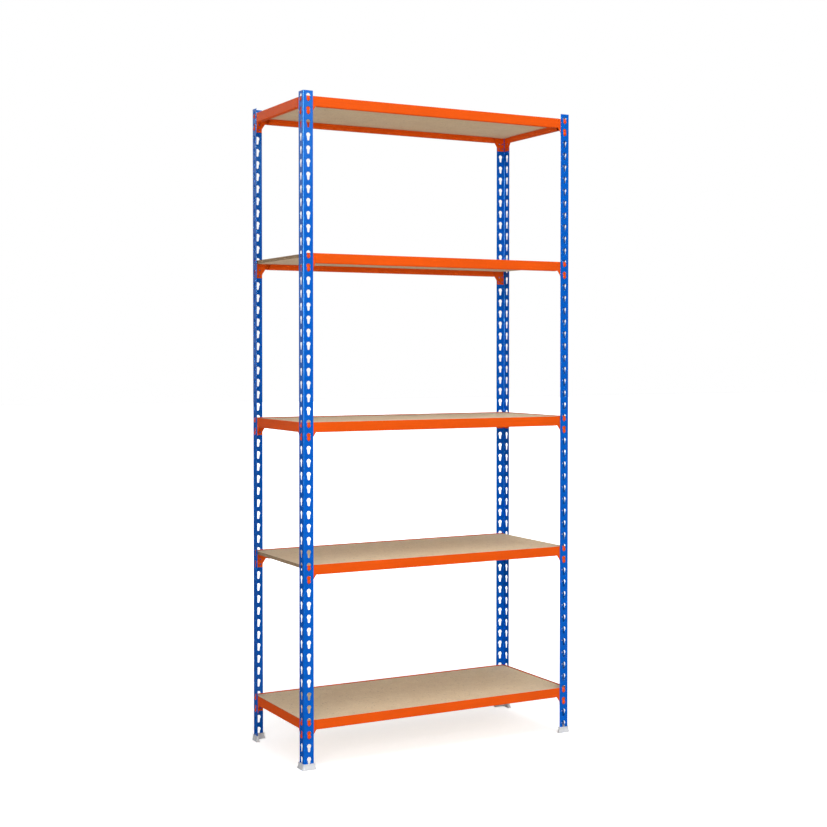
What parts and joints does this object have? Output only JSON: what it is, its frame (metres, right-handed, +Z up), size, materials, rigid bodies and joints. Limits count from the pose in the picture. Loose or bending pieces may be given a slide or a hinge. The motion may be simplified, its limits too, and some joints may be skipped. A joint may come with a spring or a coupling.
{
  "type": "boltless shelving unit",
  "caption": "Free-standing steel shelving of keyholed angle posts, hook-in beams and loose chipboard shelves, on push-on plastic feet.",
  "frame": {"origin": "on the floor under the middle of the unit, at the bottom centre of its bounding box", "axes": "+X to the right seen from the front, +Y to the back, +Z up"},
  "size_m": [0.944, 0.404, 1.9892],
  "materials": {
    "post_paint": "semi-gloss powder coat, blue",
    "beam_paint": "semi-gloss powder coat, orange",
    "rivet_paint": "orange paint over a domed rivet head",
    "chipboard": "raw sanded chipboard with coarser sawn edges",
    "foot_plastic": "moulded matt plastic, pale grey"
  },
  "bodies": {
    "posts": {"post_front_left": "post_paint", "post_front_right": "post_paint", "post_back_left": "post_paint", "post_back_right": "post_paint", "feet_front": "foot_plastic", "feet_back": "foot_plastic"},
    "beam_front_1": {"rail_front_1": "beam_paint", "brackets_front_1": "beam_paint", "rivets_front_1": "rivet_paint"},
    "beam_back_1": {"rail_back_1": "beam_paint", "brackets_back_1": "beam_paint", "rivets_back_1": "rivet_paint"},
    "beam_left_1": {"rail_left_1": "beam_paint", "brackets_left_1": "beam_paint", "rivets_left_1": "rivet_paint"},
    "beam_right_1": {"rail_right_1": "beam_paint", "brackets_right_1": "beam_paint", "rivets_right_1": "rivet_paint"},
    "board_1_panel": {"board_1": "chipboard"},
    "beam_front_2": {"rail_front_2": "beam_paint", "brackets_front_2": "beam_paint", "rivets_front_2": "rivet_paint"},
    "beam_back_2": {"rail_back_2": "beam_paint", "brackets_back_2": "beam_paint", "rivets_back_2": "rivet_paint"},
    "board_2_panel": {"board_2": "chipboard"},
    "beam_front_3": {"rail_front_3": "beam_paint", "brackets_front_3": "beam_paint", "rivets_front_3": "rivet_paint"},
    "beam_back_3": {"rail_back_3": "beam_paint", "brackets_back_3": "beam_paint", "rivets_back_3": "rivet_paint"},
    "beam_left_3": {"rail_left_3": "beam_paint", "brackets_left_3": "beam_paint", "rivets_left_3": "rivet_paint"},
    "beam_right_3": {"rail_right_3": "beam_paint", "brackets_right_3": "beam_paint", "rivets_right_3": "rivet_paint"},
    "board_3_panel": {"board_3": "chipboard"},
    "beam_front_4": {"rail_front_4": "beam_paint", "brackets_front_4": "beam_paint", "rivets_front_4": "rivet_paint"},
    "beam_back_4": {"rail_back_4": "beam_paint", "brackets_back_4": "beam_paint", "rivets_back_4": "rivet_paint"},
    "board_4_panel": {"board_4": "chipboard"},
    "beam_front_5": {"rail_front_5": "beam_paint", "brackets_front_5": "beam_paint", "rivets_front_5": "rivet_paint"},
    "beam_back_5": {"rail_back_5": "beam_paint", "brackets_back_5": "beam_paint", "rivets_back_5": "rivet_paint"},
    "beam_left_5": {"rail_left_5": "beam_paint", "brackets_left_5": "beam_paint", "rivets_left_5": "rivet_paint"},
    "beam_right_5": {"rail_right_5": "beam_paint", "brackets_right_5": "beam_paint", "rivets_right_5": "rivet_paint"},
    "board_5_panel": {"board_5": "chipboard"}
  },
  "joints": [
    {"name": "unhook_front_1", "type": "slide", "parent": "posts", "child": "beam_front_1", "axis": [0, 0, 1], "range_m": [0, 0.01]},
    {"name": "unhook_back_1", "type": "slide", "parent": "posts", "child": "beam_back_1", "axis": [0, 0, 1], "range_m": [0, 0.01]},
    {"name": "unhook_left_1", "type": "slide", "parent": "posts", "child": "beam_left_1", "axis": [0, 0, 1], "range_m": [0, 0.01]},
    {"name": "unhook_right_1", "type": "slide", "parent": "posts", "child": "beam_right_1", "axis": [0, 0, 1], "range_m": [0, 0.01]},
    {"name": "lift_board_1", "type": "slide", "parent": "beam_front_1", "child": "board_1_panel", "axis": [0, 0, 1], "range_m": [0, 0.12]},
    {"name": "unhook_front_2", "type": "slide", "parent": "posts", "child": "beam_front_2", "axis": [0, 0, 1], "range_m": [0, 0.01]},
    {"name": "unhook_back_2", "type": "slide", "parent": "posts", "child": "beam_back_2", "axis": [0, 0, 1], "range_m": [0, 0.01]},
    {"name": "lift_board_2", "type": "slide", "parent": "beam_front_2", "child": "board_2_panel", "axis": [0, 0, 1], "range_m": [0, 0.12]},
    {"name": "unhook_front_3", "type": "slide", "parent": "posts", "child": "beam_front_3", "axis": [0, 0, 1], "range_m": [0, 0.01]},
    {"name": "unhook_back_3", "type": "slide", "parent": "posts", "child": "beam_back_3", "axis": [0, 0, 1], "range_m": [0, 0.01]},
    {"name": "unhook_left_3", "type": "slide", "parent": "posts", "child": "beam_left_3", "axis": [0, 0, 1], "range_m": [0, 0.01]},
    {"name": "unhook_right_3", "type": "slide", "parent": "posts", "child": "beam_right_3", "axis": [0, 0, 1], "range_m": [0, 0.01]},
    {"name": "lift_board_3", "type": "slide", "parent": "beam_front_3", "child": "board_3_panel", "axis": [0, 0, 1], "range_m": [0, 0.12]},
    {"name": "unhook_front_4", "type": "slide", "parent": "posts", "child": "beam_front_4", "axis": [0, 0, 1], "range_m": [0, 0.01]},
    {"name": "unhook_back_4", "type": "slide", "parent": "posts", "child": "beam_back_4", "axis": [0, 0, 1], "range_m": [0, 0.01]},
    {"name": "lift_board_4", "type": "slide", "parent": "beam_front_4", "child": "board_4_panel", "axis": [0, 0, 1], "range_m": [0, 0.12]},
    {"name": "unhook_front_5", "type": "slide", "parent": "posts", "child": "beam_front_5", "axis": [0, 0, 1], "range_m": [0, 0.01]},
    {"name": "unhook_back_5", "type": "slide", "parent": "posts", "child": "beam_back_5", "axis": [0, 0, 1], "range_m": [0, 0.01]},
    {"name": "unhook_left_5", "type": "slide", "parent": "posts", "child": "beam_left_5", "axis": [0, 0, 1], "range_m": [0, 0.01]},
    {"name": "unhook_right_5", "type": "slide", "parent": "posts", "child": "beam_right_5", "axis": [0, 0, 1], "range_m": [0, 0.01]},
    {"name": "lift_board_5", "type": "slide", "parent": "beam_front_5", "child": "board_5_panel", "axis": [0, 0, 1], "range_m": [0, 0.12]}
  ],
  "couplings": [
    {"joint": "unhook_back_1", "follows": "unhook_front_1", "ratio": 1},
    {"joint": "unhook_left_1", "follows": "unhook_front_1", "ratio": 1},
    {"joint": "unhook_right_1", "follows": "unhook_front_1", "ratio": 1},
    {"joint": "unhook_back_2", "follows": "unhook_front_2", "ratio": 1},
    {"joint": "unhook_back_3", "follows": "unhook_front_3", "ratio": 1},
    {"joint": "unhook_left_3", "follows": "unhook_front_3", "ratio": 1},
    {"joint": "unhook_right_3", "follows": "unhook_front_3", "ratio": 1},
    {"joint": "unhook_back_4", "follows": "unhook_front_4", "ratio": 1},
    {"joint": "unhook_back_5", "follows": "unhook_front_5", "ratio": 1},
    {"joint": "unhook_left_5", "follows": "unhook_front_5", "ratio": 1},
    {"joint": "unhook_right_5", "follows": "unhook_front_5", "ratio": 1}
  ]
}
